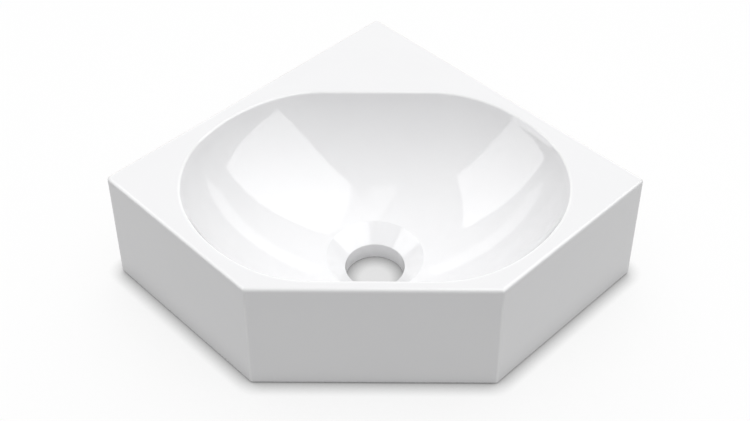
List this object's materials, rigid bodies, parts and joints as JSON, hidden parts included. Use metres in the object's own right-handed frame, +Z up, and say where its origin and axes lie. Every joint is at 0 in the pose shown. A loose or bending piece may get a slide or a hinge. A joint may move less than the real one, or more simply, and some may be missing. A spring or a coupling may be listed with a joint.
{
  "type": "corner basin",
  "caption": "Small wall-hung corner hand basin in glazed ceramic, with a cut-off front corner, an oval bowl, an open waste hole and its wall fixings.",
  "frame": {"origin": "on the base plane under the middle of the footprint", "axes": "+Z up, -Y out of the front face, +X to the right of someone facing it, so the two wall faces look to +Y at 45 degrees"},
  "size_m": [0.3972, 0.3098, 0.098],
  "materials": {
    "glazed_ceramic": "glossy white glaze",
    "plug_nylon": "moulded grey nylon",
    "bush_plastic": "moulded white plastic",
    "zinc_steel": "bright zinc plate"
  },
  "bodies": {
    "root": {"basin_body": "glazed_ceramic", "left_wall_plug": "plug_nylon", "left_hanger_bolt": "zinc_steel", "left_fixing_bush": "bush_plastic", "left_washer": "zinc_steel", "left_nut": "zinc_steel", "right_wall_plug": "plug_nylon", "right_hanger_bolt": "zinc_steel", "right_fixing_bush": "bush_plastic", "right_washer": "zinc_steel", "right_nut": "zinc_steel"}
  },
  "joints": []
}
